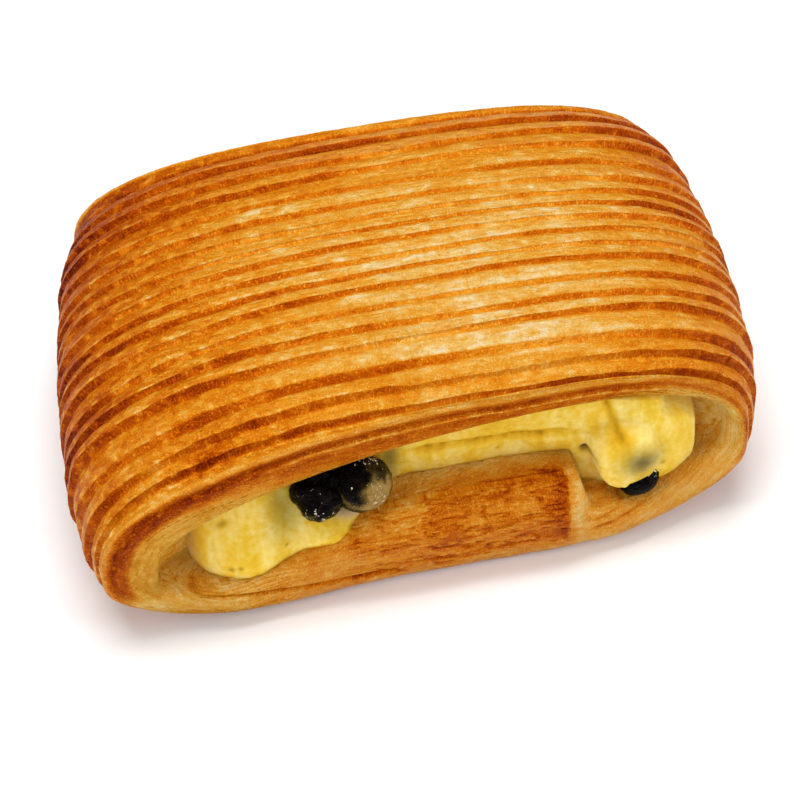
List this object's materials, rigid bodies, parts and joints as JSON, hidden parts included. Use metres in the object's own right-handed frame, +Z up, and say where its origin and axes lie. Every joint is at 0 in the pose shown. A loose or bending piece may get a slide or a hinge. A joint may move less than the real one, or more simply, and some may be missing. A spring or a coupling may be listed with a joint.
{
  "type": "pain suisse pastry",
  "caption": "Baked sleeve of ridged laminated dough, open at both sides, filled with custard and chocolate drops, lying flat.",
  "frame": {"origin": "on the surface the pastry lies on, under the middle of its bounding box", "axes": "+X along the ridges, the longest side; the open front mouth faces -Y; +Z up, the shortest side"},
  "size_m": [0.1366, 0.0904, 0.0494],
  "materials": {
    "dough": "baked laminated dough with an egg-wash glaze: glossy red-brown groove lines between pale golden ridges, paler flaky layers at the cut edges",
    "custard": "set vanilla custard, smooth, moist and slightly translucent",
    "chocolate": "dark chocolate that melted and set again, glossy, partly under a film of custard"
  },
  "bodies": {
    "root": {"dough": "dough", "custard": "custard", "chocolate_drop_front_left": "chocolate", "chocolate_drop_front_middle": "chocolate", "chocolate_drop_front_right": "chocolate", "chocolate_drop_back_left": "chocolate", "chocolate_drop_back_right": "chocolate"}
  },
  "joints": []
}
